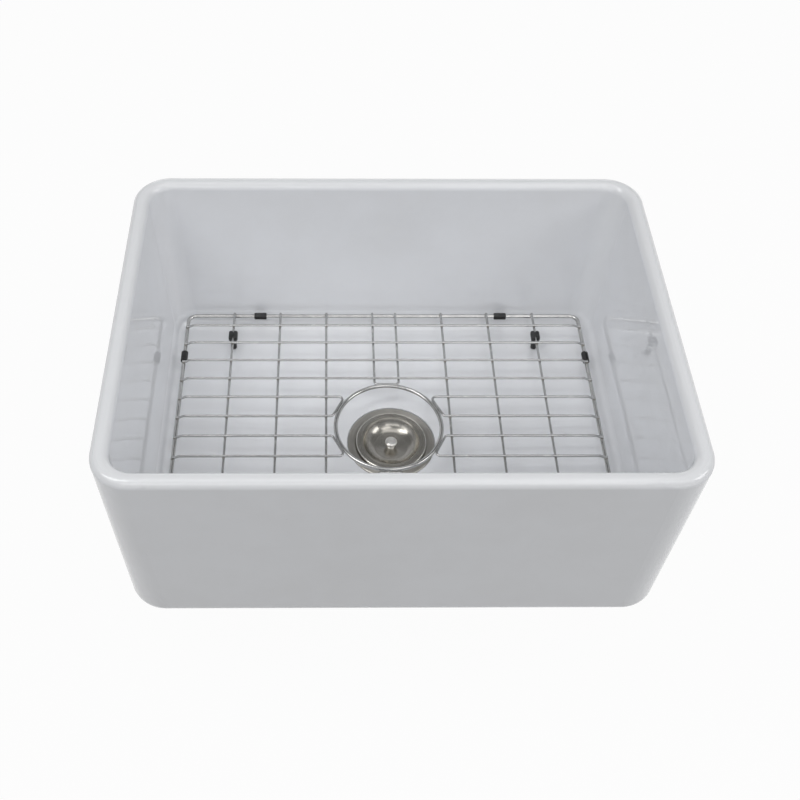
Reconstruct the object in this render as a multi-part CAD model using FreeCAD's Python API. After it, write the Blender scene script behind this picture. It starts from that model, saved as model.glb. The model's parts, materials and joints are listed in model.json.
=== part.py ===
import FreeCAD, Part
import math
import os

# Farmhouse sink with an apron front: fireclay basin, basket strainer and bottom grid.
# Millimetres. The origin is the middle of the flat underside, +Z up, apron towards -Y.

# ---- basin ----
basin_width = 610.0
basin_depth = 457.0
basin_height = 254.0
side_lean = 15.0          # each end leans in by this much down to the underside
front_lean = 14.5         # the apron and the back lean in by this much
corner_radius = 42.0      # outer upright corners
rim_width = 18.0
rim_outer_round = 7.5
rim_inner_round = 8.5
underside_round = 14.0
bowl_side_lean = 16.0     # lean of the bowl's end walls, rim to floor
bowl_front_lean = 11.0
bowl_corner_radius = 26.0
floor_thickness = 22.0    # at the drain, the lowest point of the floor
floor_fall = 0.02         # slope of the floor towards the drain
floor_round = 22.0        # sweep between floor and walls

# ---- drain hole and its seats ----
drain_x = 4.0             # the hole lies this far to the right of the bowl's middle
drain_y = 2.5             # and this far behind it
hole_clearance = 2.6      # round the strainer's cup
flange_seat_depth = 2.6
flange_seat_gap = 1.0
under_recess_radius = 74.0
under_recess_depth = 9.0

# ---- strainer body ----
cup_radius = 42.4
cup_wall = 1.4
flange_width = 10.4       # from the cup's outside to the flange's edge
flange_thickness = 2.0
flange_edge = 0.8         # upright edge below the flange's dome
mouth_roll = 5.5          # the flange rolls down into the cup over this width
sealant_thickness = 0.9
cup_depth = 44.0
cup_taper = 1.0
outlet_radius = 18.5
seat_width = 8.5          # flat ring round the outlet, on which the stopper sits
neck_wall = 4.5
neck_length = 16.0

# ---- what holds the strainer from below ----
thread_clearance = 0.1
gasket_thickness = 4.0
gasket_width = 17.5
slip_ring_thickness = 1.2
slip_ring_width = 14.5
locknut_flange = 3.5
locknut_flange_width = 12.5
locknut_height = 12.0
locknut_hub_width = 6.5
locknut_lugs = 6
lug_width = 9.0

# ---- tailpiece ----
tail_radius = 19.05
tail_wall = 1.1
tail_length = 100.0
tail_flange_inset = 0.8   # the flange is this much smaller than the neck
tail_flange_thickness = 1.6
tail_washer_thickness = 3.0
coupling_wall = 4.2
coupling_grip = 11.0      # height of the nut that grips the neck
coupling_lip = 3.0
coupling_ribs = 12
coupling_rib_radius = 1.8

# ---- basket ----
cover_overlap = 0.4       # the cover reaches this far past the cup's outside
cover_rise = 2.8          # top of the cover above the flange
cover_sheet = 1.3
cover_curl = 0.9          # thickness of the turned-down edge
dish_rim_width = 7.0      # flat rim round the dish
dish_edge_round = 2.2
dish_wall_angle = 62.0    # steepness of the dish's wall just below its edge
dish_foot_angle = 8.0     # and where it runs out into the floor
dish_floor_radius = 20.5
dish_depth = 11.4
dish_flat_radius = 8.0
basket_sheet = 1.0
basket_side_gap = 1.0     # between the basket's wall and the strainer's cup, at the top
basket_low_clearance = 5.0      # between the foot of the basket's wall and the cup
basket_bottom_clearance = 5.5   # strainer floor to the underside of the basket
basket_slots = 18
slot_width = 3.6
slot_length = 22.0
basket_holes = 12
basket_hole_radius = 2.2
stopper_inset = 2.0       # stopper's edge inside the edge of its seat
stopper_slope = 3.5
stopper_clearance = 0.3
post_radius = 3.0
post_clearance = 0.1
post_nut_flats = 11.0
post_nut_height = 4.0
post_end = 1.5
knob_radius = 7.2
knob_shoulder_radius = 5.2
knob_neck_radius = 2.9
knob_base_radius = 4.4
knob_head = 2.8
knob_below_rim = 0.8

# ---- bottom grid ----
grid_side_gap = 15.1      # frame's rod to the bowl's end walls
grid_front_gap = 10.6     # frame's rod to the front and back walls, when in the middle
grid_y = 3.5              # the grid lies this far behind the bowl's middle
frame_columns = 4.25      # half width of the frame, in column pitches
frame_rows = 6.25         # half depth of the frame, in row pitches
frame_rod_radius = 2.5
frame_corner_radius = 10.5
wire_radius = 1.5
weld_sink = 0.3           # how deep crossing wires are welded into each other
wire_end_run = 1.4        # how far a wire's end passes the rod that it is welded to
ring_radius = 63.6        # to the middle of the ring's rod
ring_rod_radius = 2.5
ring_lift = 5.0           # ring's rod above the frame's rod
hairpin_column = 0.25     # legs of the middle hairpins, in column pitches
hairpin_bend = 4.5
end_drop_start = 3.2      # from the side rod to where a cross wire comes down to it
end_drop_run = 4.6
end_bend = 4.5
long_columns = (1.25, 2.25, 3.25)
cross_rows = (2.5, 3.5, 4.5, 5.5)
side_rows = (0.5, 1.5)    # the two wires that a side hairpin joins

# ---- rubber feet and bumpers ----
foot_column = 3.25
foot_row = 5.0
foot_width = 11.4
foot_length = 14.0
foot_top = 2.6            # rubber above the middle of the wire
foot_head = 8.0
foot_round = 2.6
foot_stem_radius = 3.9
foot_stem_round = 1.6
foot_height = 23.5        # floor to the middle of the wire
foot_clearance = 0.3
foot_notch_width = 5.2
foot_notch_depth = 4.4
bumper_radius = 4.3
bumper_length = 16.0
bumper_round = 1.3
bumper_slot = 1.5
bumper_columns = {"left": 2.69, "right": 2.55}   # pushed on by hand, so not quite even
bumper_rows = {"left": 3.87, "right": 3.83}
bumper_turns = {"left": -90, "right": 15}      # how far a side bumper's slot is turned from facing up

# ---- round sizes that follow the strainer's cup ----
cup_inner_radius = cup_radius - cup_wall
hole_radius = cup_radius + hole_clearance
flange_radius = cup_radius + flange_width
bowl_floor_flat = flange_radius + flange_seat_gap
seat_radius = outlet_radius + seat_width
neck_radius = outlet_radius + neck_wall
tail_flange_radius = neck_radius - tail_flange_inset
nut_bore_radius = cup_radius + thread_clearance
cover_radius = cup_radius + cover_overlap
dish_rim_radius = cover_radius - dish_rim_width
basket_lip_radius = cover_radius - cover_curl - 0.3
basket_top_radius = cup_inner_radius - basket_side_gap
basket_low_radius = cup_inner_radius - cup_taper - basket_low_clearance
stopper_radius = seat_radius - stopper_inset
stopper_top_radius = stopper_radius - stopper_slope

# ---- levels worked out from the sizes ----
flange_seat_z = floor_thickness - flange_seat_depth
flange_under_z = flange_seat_z + sealant_thickness
flange_top_z = flange_under_z + flange_thickness
strainer_floor_z = flange_top_z - cup_depth
strainer_floor_sheet = 2.0
neck_end_z = strainer_floor_z - strainer_floor_sheet - neck_length
gasket_top_z = under_recess_depth
slip_ring_top_z = gasket_top_z - gasket_thickness
locknut_top_z = slip_ring_top_z - slip_ring_thickness
cover_top_z = flange_top_z + cover_rise
basket_bottom_z = strainer_floor_z + basket_bottom_clearance
dish_floor_z = cover_top_z - dish_depth


def floor_height(radius):
    return floor_thickness + floor_fall * max(radius - bowl_floor_flat, 0.0)


def bowl_half(size, lean, z):
    # half the bowl's width or depth at height z, between leaning walls
    return size / 2 - rim_width - lean * (basin_height - z) / (basin_height - floor_thickness)


# ---- grid, fitted to the bowl ----
grid_level = floor_thickness + foot_height
frame_half_x = bowl_half(basin_width, bowl_side_lean, grid_level) - grid_side_gap - frame_rod_radius
frame_half_y = bowl_half(basin_depth, bowl_front_lean, grid_level) - grid_front_gap - frame_rod_radius
column_pitch = frame_half_x / frame_columns
row_pitch = frame_half_y / frame_rows
foot_from_drain_x = foot_column * column_pitch + abs(drain_x)
foot_from_drain_y = foot_row * row_pitch + abs(grid_y - drain_y)
foot_reach = math.hypot(foot_from_drain_x, foot_from_drain_y) + foot_stem_radius
foot_under_z = floor_height(foot_reach) + foot_clearance
long_wire_z = foot_under_z + foot_height
frame_z = long_wire_z - frame_rod_radius - wire_radius + weld_sink
cross_wire_z = long_wire_z + 2.0 * wire_radius - weld_sink
cross_end_z = frame_z + frame_rod_radius + wire_radius - weld_sink
ring_z = frame_z + ring_lift

Vector = FreeCAD.Vector
up = Vector(0, 0, 1)
basin_middle = Vector(0, 0, 0)
drain_middle = Vector(drain_x, drain_y, 0)
grid_middle = Vector(0, grid_y, 0)


# ---- shared helpers ----
def save(name, shape, middle):
    # a piece is drawn round the Z axis, then moved to the middle it belongs to
    shape = shape.removeSplitter()
    solids = shape.Solids
    if len(solids) == 1:
        shape = solids[0]
    shape.translate(middle)
    shape.exportStep("parts/%s.step" % name)


def disc(radius, z_low, z_high, x=0.0, y=0.0):
    return Part.makeCylinder(radius, z_high - z_low, Vector(x, y, z_low))


def ring(inner, outer, z_low, z_high):
    return disc(outer, z_low, z_high).cut(disc(inner, z_low - 1, z_high + 1))


def rounded_rectangle(width, depth, radius, z):
    # counter-clockwise from the front-right corner, four sides and four arcs
    half_x = width / 2
    half_y = depth / 2
    corners = ((half_x, -half_y, 270), (half_x, half_y, 0), (-half_x, half_y, 90), (-half_x, -half_y, 180))
    points = []
    for x, y, first in corners:
        middle = Vector(x - math.copysign(radius, x), y - math.copysign(radius, y), z)
        for turn in (0, 45, 90):
            angle = math.radians(first + turn)
            points.append(middle + Vector(math.cos(angle), math.sin(angle), 0) * radius)
    edges = []
    for index in range(0, 12, 3):
        edges.append(Part.Arc(points[index], points[index + 1], points[index + 2]).toShape())
        edges.append(Part.LineSegment(points[index + 2], points[(index + 3) % 12]).toShape())
    return Part.Wire(edges)


def edges_at(shape, z, reach=0.01):
    # the edges that lie level at height z
    found = []
    for edge in shape.Edges:
        box = edge.BoundBox
        if abs(box.ZMin - z) < reach and abs(box.ZMax - z) < reach:
            found.append(edge)
    return found


def turned(*steps):
    # solid of revolution about Z; a step is (r, z) for a line,
    # or ((r, z), (r, z)) for an arc through the first point to the second
    edges = []
    here = Vector(steps[0][0], 0, steps[0][1])
    first = here
    for step in steps[1:]:
        if isinstance(step[0], tuple):
            middle = Vector(step[0][0], 0, step[0][1])
            there = Vector(step[1][0], 0, step[1][1])
            edges.append(Part.Arc(here, middle, there).toShape())
        else:
            there = Vector(step[0], 0, step[1])
            edges.append(Part.LineSegment(here, there).toShape())
        here = there
    if here.distanceToPoint(first) > 1e-6:
        edges.append(Part.LineSegment(here, first).toShape())
    return Part.Face(Part.Wire(edges)).revolve(Vector(0, 0, 0), up, 360)


def bent_path(points, bend):
    # straight runs joined by tangent arcs of one radius
    edges = []
    start = points[0]
    for before, corner, after in zip(points, points[1:], points[2:]):
        back = (before - corner).normalize()
        ahead = (after - corner).normalize()
        half = back.getAngle(ahead) / 2
        middle = (back + ahead).normalize()
        centre = corner + middle * (bend / math.sin(half))
        arc_start = corner + back * (bend / math.tan(half))
        arc_end = corner + ahead * (bend / math.tan(half))
        edges.append(Part.LineSegment(start, arc_start).toShape())
        edges.append(Part.Arc(arc_start, centre - middle * bend, arc_end).toShape())
        start = arc_end
    edges.append(Part.LineSegment(start, points[-1]).toShape())
    return Part.Wire(edges)


def rod(path, radius):
    start = path.OrderedEdges[0]
    tangent = start.tangentAt(start.FirstParameter)
    profile = Part.Wire(Part.Circle(start.valueAt(start.FirstParameter), tangent, radius).toShape())
    return path.makePipeShell([profile], True, False)


def turned_copies(shape, count):
    copies = []
    for index in range(count):
        copy = shape.copy()
        copy.rotate(Vector(0, 0, 0), up, 360.0 * index / count)
        copies.append(copy)
    return copies


# ---- basin ----
def rim_overrun(lean):
    # how far a leaning wall is drawn past the rim's widest line, so that the
    # rounded rim measures the full width
    slope = lean / basin_height
    sine = slope / math.hypot(1, slope)
    cosine = 1 / math.hypot(1, slope)
    return rim_outer_round * (slope * (1 + sine) - (1 - cosine))


def make_basin():
    width = basin_width + 2 * rim_overrun(side_lean)
    depth = basin_depth + 2 * rim_overrun(front_lean)
    lower = rounded_rectangle(basin_width - 2 * side_lean, basin_depth - 2 * front_lean, corner_radius, 0)
    upper = rounded_rectangle(width, depth, corner_radius, basin_height)
    body = Part.makeLoft([lower, upper], True, True)
    body = body.makeFillet(rim_outer_round, edges_at(body, basin_height))
    body = body.makeFillet(underside_round, edges_at(body, 0))
    body = body.cut(make_bowl())
    body = body.makeFillet(rim_inner_round, bowl_mouth_edges(body))
    body = body.cut(disc(bowl_floor_flat, flange_seat_z, floor_thickness + 1, drain_x, drain_y))
    body = body.cut(disc(hole_radius, -1, floor_thickness, drain_x, drain_y))
    return body.cut(disc(under_recess_radius, -1, under_recess_depth, drain_x, drain_y))


def bowl_mouth_edges(body):
    limit_x = basin_width / 2 - rim_width + 0.5
    limit_y = basin_depth / 2 - rim_width + 0.5
    found = []
    for edge in edges_at(body, basin_height):
        box = edge.BoundBox
        inside_x = max(abs(box.XMin), abs(box.XMax)) < limit_x
        inside_y = max(abs(box.YMin), abs(box.YMax)) < limit_y
        if inside_x and inside_y:
            found.append(edge)
    return found


def make_bowl():
    # the hollow: leaning walls, cut off below by the sloping floor, with swept edges
    top_z = basin_height
    low_z = floor_thickness
    lower = rounded_rectangle(2 * bowl_half(basin_width, bowl_side_lean, low_z),
                              2 * bowl_half(basin_depth, bowl_front_lean, low_z), bowl_corner_radius, low_z)
    upper = rounded_rectangle(2 * bowl_half(basin_width, bowl_side_lean, top_z),
                              2 * bowl_half(basin_depth, bowl_front_lean, top_z), bowl_corner_radius, top_z)
    hollow = Part.makeLoft([lower, upper], True, True)
    reach = math.hypot(basin_width, basin_depth) / 2
    above = turned((0, low_z), (bowl_floor_flat, low_z), (reach, floor_height(reach)),
                   (reach, top_z + 1), (0, top_z + 1))
    above.translate(drain_middle)
    hollow = hollow.common(above)
    floor_edges = [edge for edge in hollow.Edges
                   if edge.BoundBox.ZMax < floor_height(reach) and edge.BoundBox.ZMin > low_z + 0.5]
    return hollow.makeFillet(floor_round, floor_edges)


# ---- strainer, fixed to the basin ----
def make_strainer_body():
    inner = cup_inner_radius
    low_inner = inner - cup_taper
    top = flange_top_z
    floor = strainer_floor_z
    return turned(
        (cup_radius, flange_under_z),
        (flange_radius, flange_under_z),
        (flange_radius, flange_under_z + flange_edge),
        ((flange_radius - 0.8, top - 0.5), (flange_radius - 2.6, top - 0.25)),
        (inner + mouth_roll, top),
        ((inner + 1.6, top - 1.4), (inner, top - 4.5)),
        (low_inner, floor + 9),
        ((low_inner - 1.2, floor + 5.5), (low_inner - 4.5, floor + 3.2)),
        (seat_radius + 2, floor + 0.4),
        (seat_radius, floor),
        (outlet_radius, floor),
        (outlet_radius, neck_end_z),
        (neck_radius, neck_end_z),
        (neck_radius, floor - strainer_floor_sheet),
        (seat_radius + 3, floor - strainer_floor_sheet),
        (low_inner - 3.5, floor + 1.6),
        ((low_inner + 0.4, floor + 4.4), (low_inner + cup_wall, floor + 9)),
        (cup_radius, floor + 12),
    )


def make_locknut():
    top = locknut_top_z
    flange = nut_bore_radius + locknut_flange_width
    hub = nut_bore_radius + locknut_hub_width
    body = turned(
        (nut_bore_radius, top),
        (flange, top),
        (flange, top - locknut_flange),
        (hub + 1, top - locknut_flange),
        (hub, top - locknut_flange - 1),
        (hub, top - locknut_height + 1),
        (hub - 1, top - locknut_height),
        (nut_bore_radius, top - locknut_height),
    )
    lug = Part.makeBox(flange - hub + 1, lug_width, locknut_height,
                       Vector(hub - 2, -lug_width / 2, top - locknut_height))
    lug = lug.makeFillet(1.5, [edge for edge in lug.Edges if edge.BoundBox.XMin > hub])
    return body.multiFuse(turned_copies(lug, locknut_lugs))


def make_tail_washer():
    top = neck_end_z
    return ring(tail_radius - tail_wall, tail_flange_radius, top - tail_washer_thickness, top)


def make_tailpiece():
    top = neck_end_z - tail_washer_thickness
    inner = tail_radius - tail_wall
    return turned(
        (inner, top),
        (tail_flange_radius, top),
        (tail_flange_radius, top - tail_flange_thickness),
        (tail_radius + 0.6, top - tail_flange_thickness),
        (tail_radius, top - tail_flange_thickness - 0.6),
        (tail_radius, top - tail_length),
        (inner, top - tail_length),
    )


def make_coupling_nut():
    bore = neck_radius + thread_clearance
    outer = neck_radius + coupling_wall
    top = neck_end_z + coupling_grip
    lip_top = neck_end_z - tail_washer_thickness - tail_flange_thickness
    low = lip_top - coupling_lip
    lip = tail_radius + 0.6 + thread_clearance
    body = turned(
        (bore, top), (outer - 0.8, top), (outer, top - 0.8),
        (outer, low + 1.5), (outer - 1.5, low),
        (lip, low), (lip, lip_top), (bore, lip_top),
    )
    rib = disc(coupling_rib_radius, low + 2, top - 1, outer, 0)
    return body.multiFuse(turned_copies(rib, coupling_ribs))


# ---- basket, lifts out ----
def along_angle(angle):
    return math.cos(math.radians(angle)), math.sin(math.radians(angle))


def dish_points(depth):
    # the dish at this depth in its sheet: end of the floor, middle of the wall, top of the wall,
    # middle of the rounded edge and start of the flat rim, each as (radius, height)
    edge_x, edge_z = along_angle(dish_wall_angle)
    foot_x, foot_z = along_angle(dish_foot_angle)
    middle_x, middle_z = along_angle((dish_wall_angle + dish_foot_angle) / 2)
    edge_low = cover_top_z - dish_edge_round * (1 - edge_x)
    wall_top = dish_rim_radius - dish_edge_round * edge_z
    wall_width = wall_top - dish_floor_radius
    wall_round = wall_width / (edge_z - foot_z)
    centre_z = edge_low + wall_round * edge_x
    inner = wall_round + depth
    outer = dish_edge_round - depth
    half_x, half_z = along_angle(dish_wall_angle / 2)
    centre_x = wall_top - wall_round * edge_z
    edge_centre_z = cover_top_z - dish_edge_round
    return (
        (centre_x + inner * foot_z, centre_z - inner * foot_x),
        (centre_x + inner * middle_z, centre_z - inner * middle_x),
        (centre_x + inner * edge_z, centre_z - inner * edge_x),
        (dish_rim_radius - outer * half_z, edge_centre_z + outer * half_x),
        (dish_rim_radius, cover_top_z - depth),
    )


def make_cover():
    top = cover_top_z
    hole = post_radius + post_clearance
    under = cover_sheet
    foot, wall, edge, bend, rim = dish_points(0)
    foot_under, wall_under, edge_under, bend_under, rim_under = dish_points(under)
    return turned(
        (hole, dish_floor_z),
        (dish_flat_radius, dish_floor_z),
        foot,
        (wall, edge),
        (bend, rim),
        (cover_radius - 1.2, top),
        ((cover_radius - 0.35, top - 0.35), (cover_radius, top - 1.2)),
        (cover_radius, top - under - 1.0),
        (cover_radius - cover_curl, top - under - 1.0),
        (cover_radius - cover_curl, top - under),
        rim_under,
        (bend_under, edge_under),
        (wall_under, foot_under),
        (dish_flat_radius, dish_floor_z - under),
        (hole, dish_floor_z - under),
    )


def slot_cutter():
    # a rounded upright slot through one side of the basket's wall
    middle_z = (cover_top_z + basket_bottom_z) / 2
    half = (slot_length - slot_width) / 2
    reach = basket_top_radius + 4
    inside = basket_low_radius - 8
    box = Part.makeBox(reach, slot_width, 2 * half, Vector(inside, -slot_width / 2, middle_z - half))
    ends = []
    for side in (-1, 1):
        start = Vector(inside, 0, middle_z + side * half)
        ends.append(Part.makeCylinder(slot_width / 2, reach, start, Vector(1, 0, 0)))
    return box.multiFuse(ends)


def make_basket():
    lip_top = cover_top_z - cover_sheet
    low = basket_bottom_z
    sheet = basket_sheet
    hole = post_radius + post_clearance
    shell = turned(
        (basket_top_radius - sheet, lip_top),
        (basket_lip_radius, lip_top),
        (basket_lip_radius, lip_top - sheet),
        (basket_top_radius, lip_top - sheet),
        (basket_low_radius, low + 2.5),
        ((basket_low_radius - 0.8, low + 0.7), (basket_low_radius - 2.6, low)),
        (hole, low),
        (hole, low + sheet),
        (basket_low_radius - 3.0, low + sheet),
        ((basket_low_radius - 1.5, low + 1.6), (basket_low_radius - sheet, low + 2.9)),
    )
    hole_reach = (stopper_radius + basket_low_radius) / 2
    drip = disc(basket_hole_radius, low - 1, low + 2, hole_reach, 0)
    cutters = turned_copies(slot_cutter(), basket_slots) + turned_copies(drip, basket_holes)
    return shell.cut(cutters)


def make_stopper():
    low = strainer_floor_z + stopper_clearance
    return turned(
        (post_radius, low),
        (stopper_radius - 0.8, low),
        (stopper_radius, low + 0.8),
        (stopper_radius, low + 2.2),
        (stopper_top_radius, basket_bottom_z),
        (post_radius, basket_bottom_z),
    )


def make_post():
    low = strainer_floor_z + stopper_clearance - post_nut_height - post_end
    return disc(post_radius, low, dish_floor_z)


def make_post_nut():
    top = strainer_floor_z + stopper_clearance
    corner = post_nut_flats / math.sqrt(3)
    points = []
    for index in range(7):
        angle = math.radians(60 * index)
        points.append(Vector(corner * math.cos(angle), corner * math.sin(angle), top - post_nut_height))
    hexagon = Part.Face(Part.makePolygon(points)).extrude(up * post_nut_height)
    return hexagon.cut(disc(post_radius, top - post_nut_height - 1, top + 1))


def make_knob():
    top = cover_top_z - knob_below_rim
    waist_z = dish_floor_z + 2.4
    return turned(
        (0, dish_floor_z),
        (knob_base_radius, dish_floor_z),
        (knob_base_radius, dish_floor_z + 0.6),
        ((knob_neck_radius + 0.4, dish_floor_z + 1.1), (knob_neck_radius, waist_z)),
        ((knob_neck_radius + 0.7, waist_z + 2.4), (knob_shoulder_radius, top - knob_head)),
        (knob_radius - 0.8, top - knob_head),
        ((knob_radius, top - knob_head / 2), (knob_radius - 0.8, top - 0.4)),
        (knob_radius - 1.8, top),
        (0, top),
    )


# ---- bottom grid, lifts out ----
def make_grid_frame():
    # two half loops of bent rod, butt-welded at the middle of the front and the back
    half = bent_path(
        [
            Vector(0, -frame_half_y, frame_z),
            Vector(frame_half_x, -frame_half_y, frame_z),
            Vector(frame_half_x, frame_half_y, frame_z),
            Vector(0, frame_half_y, frame_z),
        ],
        frame_corner_radius,
    )
    right = rod(half, frame_rod_radius)
    return right.fuse(right.mirror(Vector(0, 0, 0), Vector(1, 0, 0)))


def make_long_wire(column):
    length = 2 * (frame_half_y + wire_end_run)
    start = Vector(column * column_pitch, -length / 2, long_wire_z)
    return Part.makeCylinder(wire_radius, length, start, Vector(0, 1, 0))


def end_points(side, y):
    # a cross wire's end: level on the side rod, then up to the height of the crossings
    return [
        Vector(side * (frame_half_x + wire_end_run), y, cross_end_z),
        Vector(side * (frame_half_x - end_drop_start), y, cross_end_z),
        Vector(side * (frame_half_x - end_drop_start - end_drop_run), y, cross_wire_z),
    ]


def make_cross_wire(row):
    y = row * row_pitch
    points = end_points(-1, y) + end_points(1, y)[::-1]
    return rod(bent_path(points, end_bend), wire_radius)


def ring_touch(height):
    # distance in plan from the ring's middle to a wire welded against its outside
    reach = ring_rod_radius + wire_radius - weld_sink
    return ring_radius + math.sqrt(reach ** 2 - (height - ring_z) ** 2)


def make_middle_hairpin(side):
    x = hairpin_column * column_pitch
    near = side * ring_touch(long_wire_z)
    far = side * (frame_half_y + wire_end_run)
    points = [
        Vector(-x, far, long_wire_z),
        Vector(-x, near, long_wire_z),
        Vector(x, near, long_wire_z),
        Vector(x, far, long_wire_z),
    ]
    return rod(bent_path(points, hairpin_bend), wire_radius)


def make_side_hairpin(side, end):
    # two rows joined by a slanted base that lies along the ring's outside
    inner_y, outer_y = [row * row_pitch for row in side_rows]
    touch = ring_touch(cross_wire_z)
    angle = math.asin((inner_y + outer_y) / 2 / touch)
    middle_x = touch * math.cos(angle)
    slant = math.tan(angle)
    half = (outer_y - inner_y) / 2
    inner = Vector(side * (middle_x + half * slant), end * inner_y, cross_wire_z)
    outer = Vector(side * (middle_x - half * slant), end * outer_y, cross_wire_z)
    points = end_points(side, end * inner_y) + [inner, outer] + end_points(side, end * outer_y)[::-1]
    return rod(bent_path(points, hairpin_bend), wire_radius)


def make_ring():
    return Part.makeTorus(ring_radius, ring_rod_radius, Vector(0, 0, ring_z), up)


def make_foot(side, end):
    x = side * foot_column * column_pitch
    y = end * foot_row * row_pitch
    top = long_wire_z + foot_top
    head = Part.makeBox(foot_width, foot_length, foot_head,
                        Vector(x - foot_width / 2, y - foot_length / 2, top - foot_head))
    head = head.makeFillet(foot_round, head.Edges)
    stem = disc(foot_stem_radius, foot_under_z, top - foot_head + foot_round, x, y)
    stem = stem.makeFillet(foot_stem_round, edges_at(stem, foot_under_z))
    foot = head.fuse(stem)
    start = Vector(x, y - foot_length, long_wire_z)
    bore = Part.makeCylinder(wire_radius, 2 * foot_length, start, Vector(0, 1, 0))
    cutters = [bore]
    for facing in (-1, 1):
        edge_y = y + facing * foot_length / 2
        tip = Vector(x, edge_y - facing * foot_notch_depth, long_wire_z)
        left = Vector(x - foot_notch_width / 2, edge_y + facing, long_wire_z)
        right = Vector(x + foot_notch_width / 2, edge_y + facing, long_wire_z)
        wedge = Part.Face(Part.makePolygon([tip, left, right, tip]))
        cutters.append(wedge.extrude(up * (foot_top + 1)))
    return foot.cut(cutters)


def make_bumper(middle, along, slot_turn):
    # a split sleeve pushed over the frame's rod; without a turn its slot faces up
    start = middle - along * (bumper_length / 2)
    sleeve = Part.makeCylinder(bumper_radius, bumper_length, start, along)
    sleeve = sleeve.makeFillet(bumper_round, [edge for edge in sleeve.Edges if len(edge.Vertexes) == 1])
    bore = Part.makeCylinder(frame_rod_radius, bumper_length, start, along)
    slot = Part.makeBox(bumper_length * 2, bumper_slot, bumper_radius * 2,
                        Vector(-bumper_length, -bumper_slot / 2, 0))
    slot.rotate(Vector(0, 0, 0), Vector(1, 0, 0), slot_turn)
    if abs(along.y) > 0.5:
        slot.rotate(Vector(0, 0, 0), up, 90)
    slot.translate(middle)
    return sleeve.cut([bore, slot])


def save_strainer():
    save("strainer_body", make_strainer_body(), drain_middle)
    sealant = ring(hole_radius + 1, flange_radius - 1, flange_seat_z, flange_under_z)
    save("strainer_sealant", sealant, drain_middle)
    gasket = ring(nut_bore_radius, nut_bore_radius + gasket_width, slip_ring_top_z, gasket_top_z)
    save("strainer_gasket", gasket, drain_middle)
    slip_ring = ring(nut_bore_radius, nut_bore_radius + slip_ring_width, locknut_top_z, slip_ring_top_z)
    save("strainer_slip_ring", slip_ring, drain_middle)
    save("strainer_locknut", make_locknut(), drain_middle)
    save("tailpiece_washer", make_tail_washer(), drain_middle)
    save("tailpiece", make_tailpiece(), drain_middle)
    save("tailpiece_nut", make_coupling_nut(), drain_middle)


def save_basket():
    save("basket_cover", make_cover(), drain_middle)
    save("basket_cup", make_basket(), drain_middle)
    save("basket_knob", make_knob(), drain_middle)
    save("basket_post", make_post(), drain_middle)
    save("basket_stopper", make_stopper(), drain_middle)
    save("basket_post_nut", make_post_nut(), drain_middle)


def save_grid():
    save("grid_frame", make_grid_frame(), grid_middle)
    save("grid_ring", make_ring(), grid_middle)
    for side, side_name in ((-1, "left"), (1, "right")):
        for number, column in enumerate(long_columns, 1):
            save("grid_long_wire_%s_%d" % (side_name, number), make_long_wire(side * column), grid_middle)
    for end, end_name in ((1, "back"), (-1, "front")):
        for number, row in enumerate(cross_rows, 1):
            save("grid_cross_wire_%s_%d" % (end_name, number), make_cross_wire(end * row), grid_middle)
        save("grid_hairpin_%s" % end_name, make_middle_hairpin(end), grid_middle)


def save_grid_corners():
    for end, end_name in ((1, "back"), (-1, "front")):
        for side, side_name in ((-1, "left"), (1, "right")):
            where = "%s_%s" % (end_name, side_name)
            save("grid_hairpin_%s" % where, make_side_hairpin(side, end), grid_middle)
            save("grid_foot_%s" % where, make_foot(side, end), grid_middle)
            bumper_x = side * bumper_columns[side_name] * column_pitch
            bumper_y = end * bumper_rows[side_name] * row_pitch
            on_cross_rod = Vector(bumper_x, end * frame_half_y, frame_z)
            on_side_rod = Vector(side * frame_half_x, bumper_y, frame_z)
            save("grid_bumper_%s" % where, make_bumper(on_cross_rod, Vector(1, 0, 0), 90 * end), grid_middle)
            side_bumper = make_bumper(on_side_rod, Vector(0, 1, 0), bumper_turns[side_name])
            save("grid_side_bumper_%s" % where, side_bumper, grid_middle)


os.makedirs("parts", exist_ok=True)
save("sink_basin", make_basin(), basin_middle)
save_strainer()
save_basket()
save_grid()
save_grid_corners()
print("long wires at z %.2f, ring at z %.2f, strainer flange at z %.2f" % (long_wire_z, ring_z, flange_top_z))
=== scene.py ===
import bpy
import bmesh
import json
import math
import random
from mathutils import Matrix, Vector

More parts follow.
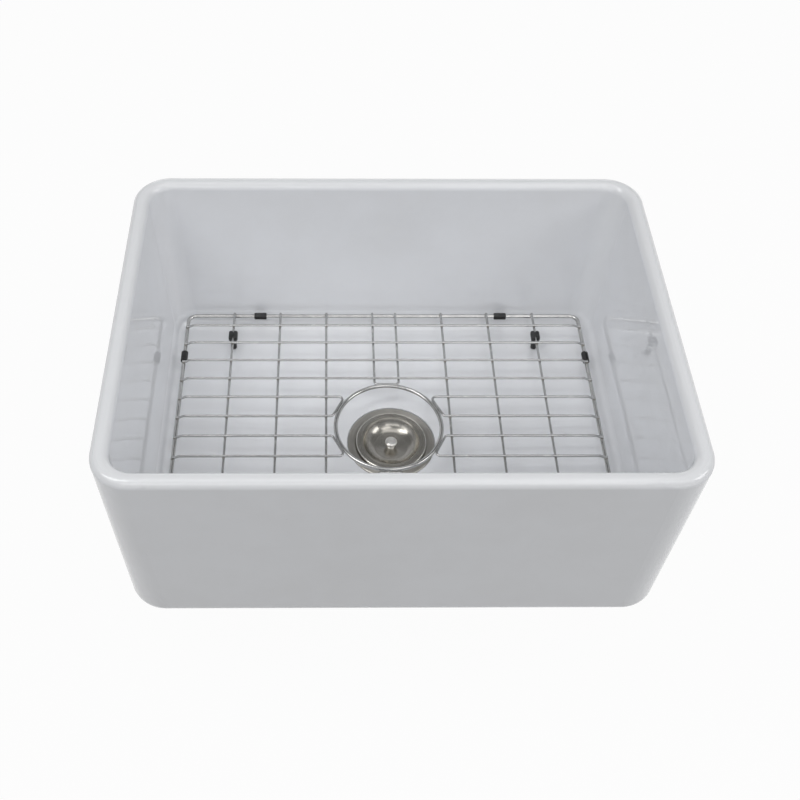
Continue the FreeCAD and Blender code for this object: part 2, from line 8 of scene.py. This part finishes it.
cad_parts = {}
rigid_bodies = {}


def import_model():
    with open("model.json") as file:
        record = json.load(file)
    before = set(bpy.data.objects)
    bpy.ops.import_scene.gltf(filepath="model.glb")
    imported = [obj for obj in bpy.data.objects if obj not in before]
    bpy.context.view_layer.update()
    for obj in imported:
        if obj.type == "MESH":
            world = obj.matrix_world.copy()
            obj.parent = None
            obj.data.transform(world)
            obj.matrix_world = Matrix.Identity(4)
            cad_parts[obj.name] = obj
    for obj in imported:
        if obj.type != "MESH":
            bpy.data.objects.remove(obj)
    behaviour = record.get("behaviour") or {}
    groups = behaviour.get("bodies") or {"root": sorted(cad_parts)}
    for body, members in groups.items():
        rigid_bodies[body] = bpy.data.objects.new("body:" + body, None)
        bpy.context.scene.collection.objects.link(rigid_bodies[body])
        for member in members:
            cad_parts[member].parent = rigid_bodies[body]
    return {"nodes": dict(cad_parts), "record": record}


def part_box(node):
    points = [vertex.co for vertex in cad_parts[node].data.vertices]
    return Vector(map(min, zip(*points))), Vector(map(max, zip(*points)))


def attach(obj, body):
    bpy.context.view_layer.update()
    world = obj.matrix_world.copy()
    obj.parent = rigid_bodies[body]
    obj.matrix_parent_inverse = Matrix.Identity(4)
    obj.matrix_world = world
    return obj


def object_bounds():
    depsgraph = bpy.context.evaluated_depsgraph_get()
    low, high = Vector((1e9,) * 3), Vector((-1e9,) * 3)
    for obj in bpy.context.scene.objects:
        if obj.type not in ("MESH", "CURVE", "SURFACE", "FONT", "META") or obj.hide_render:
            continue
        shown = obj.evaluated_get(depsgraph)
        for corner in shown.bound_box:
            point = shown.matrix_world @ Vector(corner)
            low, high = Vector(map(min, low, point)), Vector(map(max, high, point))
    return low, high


# Looks of an apron front sink: glazed fireclay basin, basket strainer, wire bottom grid.
# Metres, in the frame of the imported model: +Z up, the apron faces -Y.

for leftover in list(bpy.data.objects):  # the start file's own objects
    bpy.data.objects.remove(leftover)
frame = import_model()
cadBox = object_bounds()
nodes = frame["nodes"]
print("frame loaded:", len(nodes), "pieces")


# shader maths written as plain expressions
class Signal:
    def __init__(self, finish, socket):
        self.finish = finish
        self.socket = socket

    def maths(self, operation, first, second):
        return self.finish.node("ShaderNodeMath", {"operation": operation}, {0: first, 1: second})

    def __add__(self, other):
        return self.maths("ADD", self, other)

    def __radd__(self, other):
        return self.maths("ADD", other, self)

    def __sub__(self, other):
        return self.maths("SUBTRACT", self, other)

    def __rsub__(self, other):
        return self.maths("SUBTRACT", other, self)

    def __mul__(self, other):
        return self.maths("MULTIPLY", self, other)

    def __rmul__(self, other):
        return self.maths("MULTIPLY", other, self)

    def __truediv__(self, other):
        return self.maths("DIVIDE", self, other)

    def __rtruediv__(self, other):
        return self.maths("DIVIDE", other, self)

    def __pow__(self, other):
        return self.maths("POWER", self, other)

    def __rpow__(self, other):
        return self.maths("POWER", other, self)

    def __gt__(self, other):
        return self.maths("GREATER_THAN", self, other)

    def __lt__(self, other):
        return self.maths("LESS_THAN", self, other)

    def larger(self, other):
        return self.maths("MAXIMUM", self, other)

    def beside(self, output):
        # another output of the same node
        return Signal(self.finish, self.socket.node.outputs[output])


class Finish:
    # one material, with short ways to add what its shader needs
    socketNames = {
        "baseColor": "Base Color",
        "roughness": "Roughness",
        "metallic": "Metallic",
        "normal": "Normal",
        "ior": "IOR",
        "anisotropic": "Anisotropic",
        "anisotropicTurn": "Anisotropic Rotation",
    }

    def __init__(self, name):
        self.material = bpy.data.materials.new(name)
        self.material.use_nodes = True
        self.tree = self.material.node_tree
        self.tree.nodes.clear()

    def node(self, kind, settings=None, sockets=None, output=0):
        made = self.tree.nodes.new(kind)
        for key, value in (settings or {}).items():
            if key == "stops":
                ramp = made.color_ramp.elements
                while len(ramp) < len(value):
                    ramp.new(0.5)
                for stop, (place, shade) in zip(ramp, value):
                    stop.position = place
                    stop.color = (shade, shade, shade, 1)
            else:
                setattr(made, key, value)
        for key, value in (sockets or {}).items():
            if isinstance(value, Signal):
                self.tree.links.new(value.socket, made.inputs[key])
            else:
                made.inputs[key].default_value = value
        return Signal(self, made.outputs[output]) if len(made.outputs) else None

    def place(self):
        return self.node("ShaderNodeTexCoord", output="Object")

    def parts(self, vector):
        split = self.node("ShaderNodeSeparateXYZ", sockets={0: vector})
        return [split.beside(axis) for axis in "XYZ"]

    def stretched(self, vector, scale):
        return self.node("ShaderNodeMapping", sockets={"Vector": vector, "Scale": scale})

    def noise(self, vector, scale, detail, rough=0.5):
        return self.node("ShaderNodeTexNoise", sockets={"Vector": vector, "Scale": scale,
                                                        "Detail": detail, "Roughness": rough})

    def rings(self, distance, detail, rough):
        # noise along one distance, so that it shows as bands
        return self.node("ShaderNodeTexNoise", {"noise_dimensions": "1D"},
                         {"W": distance, "Scale": 1.0, "Detail": detail, "Roughness": rough})

    def ramp(self, value, *stops):
        return self.node("ShaderNodeValToRGB", {"stops": stops}, {"Fac": value})

    def blendColour(self, factor, first, second):
        return self.node("ShaderNodeMix", {"data_type": "RGBA"}, {0: factor, 6: first, 7: second}, output=2)

    def bump(self, height, distance, below=None):
        sockets = {"Height": height, "Distance": distance, "Strength": 1.0}
        if below is not None:
            sockets["Normal"] = below
        return self.node("ShaderNodeBump", sockets=sockets)

    def close(self, **sockets):
        # the keywords are the shader's sockets, by the names above
        values = {self.socketNames[key]: value for key, value in sockets.items()}
        shader = self.node("ShaderNodeBsdfPrincipled", sockets=values)
        self.node("ShaderNodeOutputMaterial", sockets={"Surface": shader})
        return self.material


# glazed fireclay
glaze = {
    "thick": (0.852, 0.864, 0.890, 1),
    "thin": (0.825, 0.834, 0.855, 1),
    "edge": (0.775, 0.784, 0.800, 1),   # painted shade: darker on the rounded rim's top, to offset how brightly the lamps light it
    "edgeFrom": 0.2475,       # the heights over which that comes in
    "edgeFull": 0.2515,
    "slowScale": 7.0,         # slow and patchy changes of thickness
    "patchScale": 26.0,
    "roughness": 0.012,
    "patchRoughness": 0.008,
    "ior": 1.58,
    "waveScale": 11.0,
    "waveDepth": 0.00008,
    "peelScale": 330.0,       # orange peel
    "peelDepth": 0.0000015,
}

pinholes = {
    "cellsPerMetre": 62.0,
    "radius": 0.026,          # as a share of a cell
    "emptyCells": 0.86,       # share of the cells without one
    "tint": (0.52, 0.50, 0.47, 1),
    "strength": 0.45,
}

bareFoot = {
    "height": 0.0032,         # the glaze is wiped off below this
    "wander": 0.0030,
    "wanderScale": 48.0,
    "clay": (0.60, 0.525, 0.43, 1),
    "grit": (0.42, 0.35, 0.27, 1),
    "gritScale": 900.0,
    "gritDepth": 0.00012,
    "kilnMarks": (0.66, 0.60, 0.52, 1),
    "kilnScale": 11.0,
    "roughness": 0.72,
}


def glazedFireclay():
    f = Finish("glazed_fireclay")
    place = f.place()
    height = f.parts(place)[2]
    slow = f.noise(place, glaze["slowScale"], 3.0)
    patchy = f.noise(place, glaze["patchScale"], 4.0, 0.6)
    thickness = f.ramp(slow * 0.6 + patchy * 0.4, (0.38, 0.0), (0.62, 1.0))
    tone = f.blendColour(thickness, glaze["thin"], glaze["thick"])

    # painted shade on the rim's top: the tone darkens over these heights
    paintedRimShadeShare = f.node("ShaderNodeMapRange", {"interpolation_type": "SMOOTHSTEP"},
                      {"Value": height, "From Min": glaze["edgeFrom"], "From Max": glaze["edgeFull"]})
    tone = f.blendColour(paintedRimShadeShare, tone, glaze["edge"])

    # a few pinholes, each under a millimetre across
    cells = f.node("ShaderNodeTexVoronoi", {"feature": "F1"},
                   {"Vector": place, "Scale": pinholes["cellsPerMetre"]})
    cellTint = f.parts(cells.beside("Color"))[0]
    pinhole = (cells < pinholes["radius"]) * (cellTint > pinholes["emptyCells"])
    tone = f.blendColour(pinhole * pinholes["strength"], tone, pinholes["tint"])

    # bare body where the glaze was wiped off the foot
    wander = f.noise(place, bareFoot["wanderScale"], 3.0) - 0.5
    bare = (height + wander * bareFoot["wander"]) < bareFoot["height"]
    grit = f.noise(place, bareFoot["gritScale"], 3.0, 0.7)
    clay = f.blendColour(f.ramp(grit, (0.35, 0.0), (0.7, 1.0)), bareFoot["clay"], bareFoot["grit"])
    kiln = f.noise(place, bareFoot["kilnScale"], 4.0)
    clay = f.blendColour(f.ramp(kiln, (0.45, 0.0), (0.65, 0.5)), clay, bareFoot["kilnMarks"])
    colour = f.blendColour(bare, tone, clay)

    shine = glaze["roughness"] + patchy * glaze["patchRoughness"] + bare * bareFoot["roughness"]
    surface = f.bump(f.noise(place, glaze["waveScale"], 1.5), glaze["waveDepth"])
    surface = f.bump(f.noise(place, glaze["peelScale"], 2.0), glaze["peelDepth"], surface)
    surface = f.bump(grit * bare, bareFoot["gritDepth"], surface)
    return f.close(baseColor=colour, roughness=shine, normal=surface, ior=glaze["ior"])


# metals
spun = {
    "tint": (0.56, 0.54, 0.50, 1),
    "darker": 0.84,           # the duller patches, as a share of the tint
    "roughness": 0.25,
    "stretch": 0.80,          # how far the grooves draw a highlight out across themselves
    "turn": 0.25,             # a quarter turn, so that it runs out from the axis
    "grooveWidth": 0.00042,
    "grooveDepth": 0.000003,
    "grooveRoughness": 0.03,
    "wallShare": 0.35,        # what height counts beside radius, for the grooves on walls
    "broadRings": 420.0,      # per metre
    "smearScale": 85.0,
    "smearDepth": 0.00001,
    "smearRoughness": 0.05,
}

# painted light on the cover, as bands by radius round the drain's axis
paintedCoverBands = {
    # painted highlight: a pale band at the cover's outer edge, made a little smoother too
    "paintedHighlightEdge": {
        "radius": 0.0428,
        "halfWidth": 0.0017,
        "tint": (0.97, 0.945, 0.89, 1),
        "addedRoughness": -0.05,
    },
    # painted shade: a dark band at the lip that dims its highlight; the lip is also made rougher
    "paintedShadeLip": {
        "radius": 0.0353,
        "halfWidth": 0.0022,
        "tint": (0.33, 0.315, 0.285, 1),
        "addedRoughness": 0.16,
    },
}


def spunSteel(name, centre, tint=None, roughness=None, paintedBands=None):
    # turned on a lathe or pressed: fine rings round the drain's own axis
    f = Finish(name)
    place = f.place()
    x, y, z = f.parts(place)
    fromX = x - centre.x
    fromY = y - centre.y
    radius = (fromX * fromX + fromY * fromY) ** 0.5
    along = radius + z * spun["wallShare"]
    fine = f.rings(along / spun["grooveWidth"], 3.0, 0.65)
    broad = f.rings(along * spun["broadRings"], 2.0, 0.5)
    smear = f.noise(place, spun["smearScale"], 3.0, 0.6)
    tint = tint or spun["tint"]
    dark = tuple(part * spun["darker"] for part in tint[:3]) + (1,)
    colour = f.blendColour(f.ramp(broad * 0.55 + smear * 0.45, (0.36, 0.0), (0.66, 1.0)), dark, tint)
    shine = ((roughness or spun["roughness"]) + (smear - 0.5) * spun["smearRoughness"]
             + (fine - 0.5) * spun["grooveRoughness"])
    # paint the bands of painted highlight and painted shade into the tint, and change the roughness with
    # them
    for band in (paintedBands or {}).values():
        gap = (radius - band["radius"]).larger(band["radius"] - radius)
        share = (1 - gap / band["halfWidth"]).larger(0.0) ** 0.5
        colour = f.blendColour(share, colour, band["tint"])
        shine = shine + share * band["addedRoughness"]
    surface = f.bump(fine, spun["grooveDepth"])
    surface = f.bump(smear, spun["smearDepth"], surface)
    return f.close(baseColor=colour, metallic=1.0, roughness=shine, normal=surface,
                   anisotropic=spun["stretch"], anisotropicTurn=spun["turn"])


drawn = {
    "tint": (0.56, 0.56, 0.555, 1),
    "darkTint": (0.48, 0.48, 0.475, 1),
    "roughness": 0.26,
    "lineRoughness": 0.06,
    "lineDepth": 0.000001,
    "cloudScale": 60.0,
    "cloudRoughness": 0.08,
    "cloudDepth": 0.00001,
}


def drawnSteel(name, stretch, tint=None, roughness=None):
    # wire, rod or tube pulled through a die: faint lines along its run
    f = Finish(name)
    place = f.place()
    lines = f.noise(f.stretched(place, stretch), 1.0, 3.0, 0.6)
    cloud = f.noise(place, drawn["cloudScale"], 3.0)
    colour = f.blendColour(f.ramp(lines * 0.5 + cloud * 0.5, (0.35, 0.0), (0.62, 1.0)),
                           drawn["darkTint"], tint or drawn["tint"])
    shine = ((roughness or drawn["roughness"]) + (cloud - 0.5) * drawn["cloudRoughness"]
             + (lines - 0.5) * drawn["lineRoughness"])
    surface = f.bump(lines, drawn["lineDepth"])
    surface = f.bump(cloud, drawn["cloudDepth"], surface)
    return f.close(baseColor=colour, metallic=1.0, roughness=shine, normal=surface)


heatTint = {
    "dark": (0.20, 0.19, 0.18, 1),
    "straw": (0.36, 0.33, 0.28, 1),
    "cloudScale": 520.0,
    "roughness": 0.34,
    "cloudRoughness": 0.2,
    "metallic": 0.9,
    "depth": 0.00012,
}


def weldTint():
    # resistance welds: dulled steel with a straw heat colour
    f = Finish("weld_heat_tint")
    cloud = f.noise(f.place(), heatTint["cloudScale"], 3.0, 0.6)
    colour = f.blendColour(f.ramp(cloud, (0.35, 0.0), (0.6, 1.0)), heatTint["dark"], heatTint["straw"])
    shine = heatTint["roughness"] + cloud * heatTint["cloudRoughness"]
    return f.close(baseColor=colour, metallic=heatTint["metallic"], roughness=shine,
                   normal=f.bump(cloud, heatTint["depth"]))


dieCast = {
    "dark": (0.36, 0.37, 0.385, 1),
    "light": (0.52, 0.53, 0.545, 1),
    "flowStretch": (30, 30, 90),
    "flowDepth": 0.0003,
    "skinScale": 420.0,
    "skinDepth": 0.00009,
    "roughness": 0.46,
    "skinRoughness": 0.3,
    "metallic": 0.85,
}


def dieCastMetal():
    # grey zinc casting with a frosty skin and a few flow marks
    f = Finish("die_cast_metal")
    place = f.place()
    skin = f.noise(place, dieCast["skinScale"], 4.0, 0.65)
    flow = f.noise(f.stretched(place, dieCast["flowStretch"]), 1.0, 3.0)
    colour = f.blendColour(f.ramp(flow, (0.4, 0.0), (0.65, 1.0)), dieCast["dark"], dieCast["light"])
    surface = f.bump(skin, dieCast["skinDepth"])
    surface = f.bump(flow, dieCast["flowDepth"], surface)
    shine = dieCast["roughness"] + (skin - 0.5) * dieCast["skinRoughness"]
    return f.close(baseColor=colour, metallic=dieCast["metallic"], roughness=shine, normal=surface)


plated = {
    "dull": (0.62, 0.63, 0.65, 1),
    "bright": (0.72, 0.72, 0.72, 1),
    "hazeScale": 34.0,
    "pitScale": 260.0,
    "pitDepth": 0.00005,
    "roughness": 0.12,
    "hazeRoughness": 0.10,
}


def platedMetal():
    # bright plating over a casting, a little pitted
    f = Finish("plated_metal")
    place = f.place()
    pits = f.noise(place, plated["pitScale"], 4.0, 0.6)
    haze = f.noise(place, plated["hazeScale"], 3.0)
    colour = f.blendColour(haze, plated["dull"], plated["bright"])
    shine = plated["roughness"] + haze * plated["hazeRoughness"]
    return f.close(baseColor=colour, metallic=1.0, roughness=shine, normal=f.bump(pits, plated["pitDepth"]))


# rubber, fibre, plastic, sealant
rubber = {
    "skinScale": 900.0,
    "skinDepth": 0.00006,
    "skinRoughness": 0.2,
    "dustScale": 160.0,
    "dustOnTop": 0.08,        # more of it on faces that look up
    "dustTimes": 2.2,         # the dusty tone, from the rubber's own
    "dustPlus": 0.012,
}


def mouldedRubber(name, tone, sheen=0.5):
    f = Finish(name)
    place = f.place()
    skin = f.noise(place, rubber["skinScale"], 3.0, 0.6)
    dust = f.noise(place, rubber["dustScale"], 4.0, 0.7)
    lift = f.parts(f.node("ShaderNodeNewGeometry", output="Normal"))[2]
    dusty = f.ramp(dust + lift * rubber["dustOnTop"], (0.52, 0.0), (0.78, 1.0))
    pale = tuple(part * rubber["dustTimes"] + rubber["dustPlus"] for part in tone[:3]) + (1,)
    colour = f.blendColour(dusty, tone, pale)
    shine = sheen + (skin - 0.5) * rubber["skinRoughness"]
    return f.close(baseColor=colour, roughness=shine, normal=f.bump(skin, rubber["skinDepth"]))


fibre = {
    "dark": (0.30, 0.225, 0.155, 1),
    "light": (0.47, 0.375, 0.27, 1),
    "strandStretch": (240, 900, 900),
    "strandDepth": 0.0001,
    "roughness": 0.82,
}


def pressedFibre():
    f = Finish("pressed_fibre")
    strands = f.noise(f.stretched(f.place(), fibre["strandStretch"]), 1.0, 4.0, 0.7)
    colour = f.blendColour(f.ramp(strands, (0.38, 0.0), (0.64, 1.0)), fibre["dark"], fibre["light"])
    return f.close(baseColor=colour, roughness=fibre["roughness"],
                   normal=f.bump(strands, fibre["strandDepth"]))


washerPlastic = {
    "dark": (0.78, 0.775, 0.75, 1),
    "light": (0.85, 0.85, 0.83, 1),
    "scale": 120.0,
    "depth": 0.00005,
    "roughness": 0.42,
    "addedRoughness": 0.1,
}

sealantBead = {
    "dark": (0.70, 0.70, 0.68, 1),
    "light": (0.80, 0.80, 0.78, 1),
    "scale": 210.0,
    "depth": 0.0004,
    "roughness": 0.32,
    "addedRoughness": 0.1,
}


def cloudyCompound(name, look):
    # pale washer plastic or sealant, with one noise for tone, shine and ripple
    f = Finish(name)
    cloud = f.noise(f.place(), look["scale"], 3.0)
    colour = f.blendColour(cloud, look["dark"], look["light"])
    return f.close(baseColor=colour, roughness=look["roughness"] + cloud * look["addedRoughness"],
                   normal=f.bump(cloud, look["depth"]))


print("finishes: building")

drainLow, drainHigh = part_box("strainer_body")
drain = (drainLow + drainHigh) / 2
finishes = {
    "fireclay": glazedFireclay(),
    "drain_steel": spunSteel("spun_drain_steel", drain, (0.52, 0.50, 0.46, 1), 0.30),
    "basket_steel": spunSteel("spun_basket_steel", drain),
    "fastener_steel": drawnSteel("fastener_steel", (300, 300, 60), roughness=0.3),
    "seal_rubber": mouldedRubber("black_seal_rubber", (0.020, 0.020, 0.021, 1)),
    "sealant": cloudyCompound("cured_sealant", sealantBead),
    "fibre_ring": pressedFibre(),
    "cast_nut": dieCastMetal(),
    "tail_steel": drawnSteel("drawn_tube_steel", (500, 500, 12), roughness=0.24),
    "coupling_metal": platedMetal(),
    "washer_plastic": cloudyCompound("moulded_washer_plastic", washerPlastic),
    "grid_rubber": mouldedRubber("black_grid_rubber", (0.012, 0.012, 0.013, 1), 0.42),
    "grid_rod": drawnSteel("polished_rod_steel", (160, 160, 700), (0.62, 0.615, 0.60, 1), 0.16),
}
wireAlongX = drawnSteel("drawn_wire_across", (25, 1200, 1200))
wireAlongY = drawnSteel("drawn_wire_lengthways", (1200, 25, 1200))
ownFinish = {
    "basket_knob": spunSteel("satin_knob_steel", drain, (0.97, 0.95, 0.91, 1), 0.33),
    "basket_cover": spunSteel("spun_cover_steel", drain, (0.47, 0.45, 0.41, 1), 0.215, paintedCoverBands),
}
slotOf = {part["node"]: part["material_slot"] for part in frame["record"]["subparts"]}

for name, piece in nodes.items():
    slotName = slotOf[name]
    if slotName == "grid_wire":
        finish = wireAlongY if "long_wire" in name else wireAlongX
    else:
        finish = ownFinish.get(name, finishes[slotName])
    for holder in piece.material_slots:
        holder.material = finish
print("finishes: given to", len(nodes), "pieces")


# small pieces that only show close up
def meshObject(name, mesh, finish):
    mesh.normal_update()
    data = bpy.data.meshes.new(name)
    mesh.to_mesh(data)
    mesh.free()
    for face in data.polygons:
        face.use_smooth = True
    data.materials.append(finish)
    made = bpy.data.objects.new(name, data)
    bpy.context.scene.collection.objects.link(made)
    return made


def addPiece(name, mesh, finish, body):
    made = meshObject(name, mesh, finish)
    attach(made, body)


def joinRings(mesh, rings):
    # faces from each ring to the next, where a ring of one point closes the end
    for first, second in zip(rings, rings[1:]):
        sides = max(len(first), len(second))
        for side in range(sides):
            after = (side + 1) % sides
            if len(first) == 1:
                mesh.faces.new((first[0], second[side], second[after]))
            elif len(second) == 1:
                mesh.faces.new((first[side], second[0], first[after]))
            else:
                mesh.faces.new((first[side], second[side], second[after], first[after]))


weld = {
    "reach": 0.00215,         # how far the flash reaches from the crossing
    "height": 0.00075,
    "profile": ((0.0, 1.0), (0.55, 0.86), (0.88, 0.45), (1.0, 0.0),   # shares of reach and height
                (0.88, -0.45), (0.55, -0.86), (0.0, -1.0)),
    "sizes": (0.9, 1.12),
    "sides": 10,
    "diagonalBulge": 0.13,    # wider between the wires than along them
    "unevenness": 0.08,
    "wireWidth": 0.003,
    "seed": 11,
}


def weldNugget(mesh, spot, chance):
    # a flat pillow of flash squeezed out where two wires were welded
    turn = chance.uniform(0, 1)
    size = chance.uniform(*weld["sizes"])
    loops = []
    for reach, lift in weld["profile"]:
        z = lift * weld["height"]
        if reach == 0.0:
            loops.append([mesh.verts.new(spot + Vector((0, 0, z)))])
            continue
        loop = []
        for side in range(weld["sides"]):
            angle = 2 * math.pi * (side + turn) / weld["sides"]
            bulge = 1 + weld["diagonalBulge"] * math.cos(4 * angle + math.pi)
            bulge += chance.uniform(-1, 1) * weld["unevenness"]
            out = weld["reach"] * reach * size * bulge
            loop.append(mesh.verts.new(spot + Vector((out * math.cos(angle), out * math.sin(angle), z))))
        loops.append(loop)
    joinRings(mesh, loops)


def crossingSpots():
    # where cross wires and side hairpins lie on the long wires, and where wires lie on the frame's rods
    longWires = [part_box(name) for name in nodes if "long_wire" in name]
    frameLow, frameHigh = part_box("grid_frame")
    rodRadius = (frameHigh.z - frameLow.z) / 2
    wireRadius = weld["wireWidth"] / 2
    spots = []
    for name in nodes:
        crossWire = "cross_wire" in name
        sideHairpin = name.startswith("grid_hairpin_") and name.count("_") == 3
        if not (crossWire or sideHairpin):
            continue
        low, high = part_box(name)
        rows = [(low.y + high.y) / 2] if crossWire else [low.y + wireRadius, high.y - wireRadius]
        for row in rows:
            for wireLow, wireHigh in longWires:
                x = (wireLow.x + wireHigh.x) / 2
                if low.x < x < high.x:
                    spots.append(Vector((x, row, (wireHigh.z + high.z - weld["wireWidth"]) / 2)))
            for x in (frameLow.x + rodRadius, frameHigh.x - rodRadius):
                if low.x < x < high.x:
                    spots.append(Vector((x, row, frameHigh.z)))
    for wireLow, wireHigh in longWires:
        for y in (frameLow.y + rodRadius, frameHigh.y - rodRadius):
            spots.append(Vector(((wireLow.x + wireHigh.x) / 2, y, frameHigh.z)))
    return spots


def gridWelds():
    chance = random.Random(weld["seed"])
    mesh = bmesh.new()
    spots = crossingSpots()
    for spot in spots:
        weldNugget(mesh, spot, chance)
    addPiece("grid_welds", mesh, weldTint(), "grid")
    print("welds:", len(spots))


gridWelds()

neckThread = {
    "radius": 0.0230,
    "below": 0.003,           # from the top of the nut
    "above": 0.0042,
    "pitch": 0.0019,
    "depth": 0.0006,
    "sunk": 0.0002,           # how far its foot lies inside the neck
    "stepsPerTurn": 72,
    "fadeSteps": 12,
}


def strainerNeckThread():
    # one rounded ridge that climbs round the neck past the nut, fading out at both ends
    pitch, sunk, fadeSteps = (neckThread[key] for key in ("pitch", "sunk", "fadeSteps"))
    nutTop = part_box("tailpiece_nut")[1].z
    low = nutTop - neckThread["below"]
    high = nutTop + neckThread["above"]
    climb = high - low - pitch
    steps = int(neckThread["stepsPerTurn"] * (climb / pitch))
    mesh = bmesh.new()
    rings = []
    for step in range(steps + 1):
        angle = 2 * math.pi * step / neckThread["stepsPerTurn"]
        z = low + pitch / 2 + climb * step / steps
        crest = neckThread["depth"] * min(1.0, step / fadeSteps, (steps - step) / fadeSteps)
        profile = ((-sunk, -0.46), (0.0, -0.40), (crest, -0.10),    # outwards, and share of the pitch
                   (crest, 0.10), (0.0, 0.40), (-sunk, 0.46))
        ring = []
        for out, lift in profile:
            reach = neckThread["radius"] + out
            x = drain.x + reach * math.cos(angle)
            y = drain.y + reach * math.sin(angle)
            ring.append(mesh.verts.new((x, y, z + lift * pitch)))
        rings.append(ring)
    for first, second in zip(rings, rings[1:]):
        for index in range(len(first) - 1):
            mesh.faces.new((first[index], second[index], second[index + 1], first[index + 1]))
    addPiece("strainer_neck_thread", mesh, finishes["drain_steel"], "basin")


strainerNeckThread()
print("threads: made")


# floor, light and camera
studio = {
    "floorTone": 0.42,
    "floorGlow": 0.965,       # how much of plain white the floor shows to the eye
    "floorGap": 0.0005,       # from the part's lowest point down to the floor
    "floorSides": 96,
    "floorProfile": ((0.0, 0.0), (3.2, 0.0), (3.6, 0.05), (3.95, 0.2),   # out and up: flat, then a cove
                     (4.2, 0.45), (4.35, 0.8), (4.4, 1.3)),
    "roomTone": 0.25,
    "roomTint": (0.970, 0.985, 1.0),
    "lampAim": (0, 0, 0.15),
    "lamps": {                # name: power, width and height, place
        "front": (13.6, (2.2, 1.0), (-0.2, -2.0, 1.9)),
        "frontLeft": (4.8, (1.3, 1.2), (-1.7, -0.9, 1.8)),
        "frontRight": (5.2, (1.2, 1.1), (0.65, -0.93, 2.4)),
        "left": (11.6, (0.6, 1.3), (-1.2, -0.2, 2.2)),
        "right": (15.4, (1.1, 1.1), (2.0, -0.5, 1.7)),
        "top": (6.4, (1.6, 1.2), (0.0, 0.1, 2.6)),
        "rear": (5.0, (2.0, 0.8), (0.0, 2.6, 0.9)),
    },
}


def floorFinish():
    # matt to the light, and nearly plain white to the eye and in reflections
    f = Finish("plain_floor")
    seen = f.node("ShaderNodeLightPath", output="Is Camera Ray")
    seen = seen.larger(seen.beside("Is Glossy Ray")).larger(seen.beside("Is Transmission Ray"))
    tone = studio["floorTone"]
    matt = f.node("ShaderNodeBsdfDiffuse", sockets={"Color": (tone, tone, tone, 1)})
    glow = f.node("ShaderNodeEmission", sockets={"Color": (1, 1, 1, 1), "Strength": 1.0})
    shader = f.node("ShaderNodeMixShader", sockets={0: seen * studio["floorGlow"], 1: matt, 2: glow})
    f.node("ShaderNodeOutputMaterial", sockets={"Surface": shader})
    return f.material


def plainFloor():
    bottom = cadBox[0].z - studio["floorGap"]
    mesh = bmesh.new()
    turns = [2 * math.pi * side / studio["floorSides"] for side in range(studio["floorSides"])]
    rings = []
    for reach, rise in studio["floorProfile"]:
        angles = turns if reach else turns[:1]
        rings.append([mesh.verts.new((reach * math.cos(angle), reach * math.sin(angle), bottom + rise))
                      for angle in angles])
    joinRings(mesh, rings)
    meshObject("floor", mesh, floorFinish())


def plainRoom():
    room = bpy.data.worlds.new("room")
    room.use_nodes = True
    tint = [part * studio["roomTone"] for part in studio["roomTint"]]
    background = room.node_tree.nodes["Background"]
    background.inputs["Color"].default_value = (*tint, 1)
    background.inputs["Strength"].default_value = 1.0
    bpy.context.scene.world = room


def softLamp(name, power, size, place):
    lamp = bpy.data.lights.new(name, "AREA")
    lamp.shape = "RECTANGLE"
    lamp.energy = power
    lamp.size, lamp.size_y = size
    made = bpy.data.objects.new(name, lamp)
    made.location = place
    made.rotation_mode = "QUATERNION"
    made.rotation_quaternion = (Vector(studio["lampAim"]) - Vector(place)).to_track_quat("-Z", "Y")
    bpy.context.scene.collection.objects.link(made)


plainFloor()
plainRoom()
for lampName, (power, size, place) in studio["lamps"].items():
    softLamp(lampName + "Lamp", power, size, place)
bpy.context.scene.view_settings.view_transform = "Standard"

camera = {
    "imageSize": 800,
    "sensorWidth": 36,            # millimetres
    "focal": 1214.81,             # in pixels of the image, as the middle is
    "middle": (345.00, 255.0),
    "yaw": 1.121,
    "pitch": 43.408,
    "roll": -0.842,
    "place": (-0.07334, -0.91362, 1.20195),
    "clip": (0.05, 30),
}


def addCamera():
    yaw, pitch, roll = (math.radians(camera[key]) for key in ("yaw", "pitch", "roll"))
    ahead = Vector((math.sin(yaw) * math.cos(pitch), math.cos(yaw) * math.cos(pitch), -math.sin(pitch)))
    level = Vector((math.cos(yaw), -math.sin(yaw), 0))
    down = ahead.cross(level)
    right = level * math.cos(roll) + down * math.sin(roll)
    down = down * math.cos(roll) - level * math.sin(roll)
    data = bpy.data.cameras.new("photo_camera")
    data.sensor_width = camera["sensorWidth"]
    data.lens = camera["focal"] / camera["imageSize"] * camera["sensorWidth"]
    half = camera["imageSize"] / 2
    data.shift_x = (half - camera["middle"][0]) / camera["imageSize"]
    data.shift_y = (camera["middle"][1] - half) / camera["imageSize"]
    data.clip_start, data.clip_end = camera["clip"]
    made = bpy.data.objects.new("photo_camera", data)
    turn = Matrix((right, -down, -ahead)).transposed()
    made.matrix_world = Matrix.Translation(camera["place"]) @ turn.to_4x4()
    bpy.context.scene.collection.objects.link(made)
    bpy.context.scene.camera = made


addCamera()
print("studio and camera: placed")
